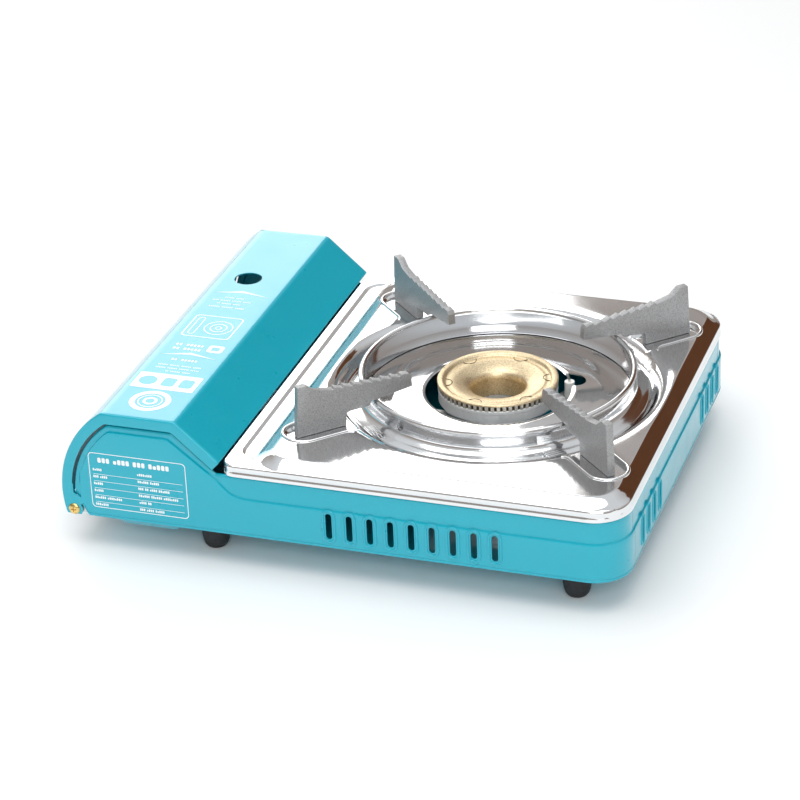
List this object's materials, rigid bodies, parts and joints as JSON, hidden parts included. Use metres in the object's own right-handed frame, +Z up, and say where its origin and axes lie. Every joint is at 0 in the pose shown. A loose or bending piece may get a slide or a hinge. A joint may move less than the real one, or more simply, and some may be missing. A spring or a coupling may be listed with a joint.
{
  "type": "camping stove",
  "caption": "Portable tabletop gas stove with a hinged cartridge cover at one side, polished top plate, round burner and a lift-off four-legged pan support.",
  "frame": {"origin": "centre of the bounding box's bottom face, on the plane that the feet stand on", "axes": "+Z up; the user stands at -Y, where the knob and the lock lever are; +X towards the cartridge bay at the user's right"},
  "size_m": [0.334, 0.28, 0.099],
  "materials": {
    "teal_enamel": "glossy metallic teal enamel",
    "polished_steel": "polished stainless sheet",
    "cast_grey": "grit-blasted grey casting",
    "brass": "satin turned brass",
    "zinc_plate": "zinc-plated sheet",
    "black_rubber": "matt moulded rubber",
    "black_plastic": "fine-textured moulded plastic",
    "white_ceramic": "glazed ceramic or white acetal",
    "red_wire": "silicone-insulated wire"
  },
  "bodies": {
    "case": {"back_panel": "teal_enamel", "front_panel": "teal_enamel", "side_panel": "teal_enamel", "top_plate": "polished_steel", "regulator": "cast_grey", "valve_block": "cast_grey", "mixing_tube": "cast_grey", "burner_base": "cast_grey", "hinge_screw_back": "brass", "hinge_screw_front": "brass", "inlet_collar": "brass", "transfer_pipe": "brass", "gas_nozzle": "brass", "burner_cap": "brass", "bottom_plate": "zinc_plate", "bay_wall": "zinc_plate", "hinge_bracket_back": "zinc_plate", "hinge_bracket_front": "zinc_plate", "cartridge_guide": "zinc_plate", "air_shutter": "zinc_plate", "burner_bracket": "zinc_plate", "heat_strip": "zinc_plate", "electrode_pin": "zinc_plate", "electrode_bracket": "zinc_plate", "knob_dial": "zinc_plate", "foot_back_bay": "black_rubber", "foot_back_side": "black_rubber", "foot_front_side": "black_rubber", "foot_front_bay": "black_rubber", "igniter_body": "black_plastic", "electrode_ceramic": "white_ceramic", "ignition_wire": "red_wire"},
    "cover": {"cartridge_cover": "teal_enamel"},
    "knob": {"knob": "black_plastic", "spindle": "brass", "spindle_cam": "white_ceramic"},
    "plunger": {"igniter_plunger": "white_ceramic"},
    "lever": {"lock_lever": "black_plastic"},
    "carriage": {"carriage": "zinc_plate", "link_bar": "zinc_plate"},
    "pan_support": {"support_ring": "polished_steel", "leg_back_bay": "cast_grey", "leg_back_side": "cast_grey", "leg_front_side": "cast_grey", "leg_front_bay": "cast_grey"}
  },
  "joints": [
    {"name": "cover_hinge", "type": "hinge", "parent": "case", "child": "cover", "pos_m": [0.1602, 0.0085, 0.0235], "axis": [0, 1, 0], "range_deg": [0, 105]},
    {"name": "knob_turn", "type": "hinge", "parent": "case", "child": "knob", "pos_m": [0.042, -0.1215, 0.04], "axis": [0, -1, 0], "range_deg": [0, 120]},
    {"name": "plunger_push", "type": "slide", "parent": "case", "child": "plunger", "axis": [-1, 0, 0], "range_m": [0, 0.0025]},
    {"name": "carriage_slide", "type": "slide", "parent": "case", "child": "carriage", "axis": [0, -1, 0], "range_m": [0, 0.009], "stiffness_N_per_m": 80, "springref_m": -0.01},
    {"name": "lever_press", "type": "slide", "parent": "case", "child": "lever", "axis": [0, 0, -1], "range_m": [0, 0.01405]},
    {"name": "support_lift", "type": "slide", "parent": "case", "child": "pan_support", "axis": [0, 0, 1], "range_m": [0, 0.04]}
  ],
  "couplings": [
    {"joint": "plunger_push", "follows": "knob_turn", "m_per_rad": 0.00119},
    {"joint": "lever_press", "follows": "carriage_slide", "ratio": 1.5556}
  ]
}
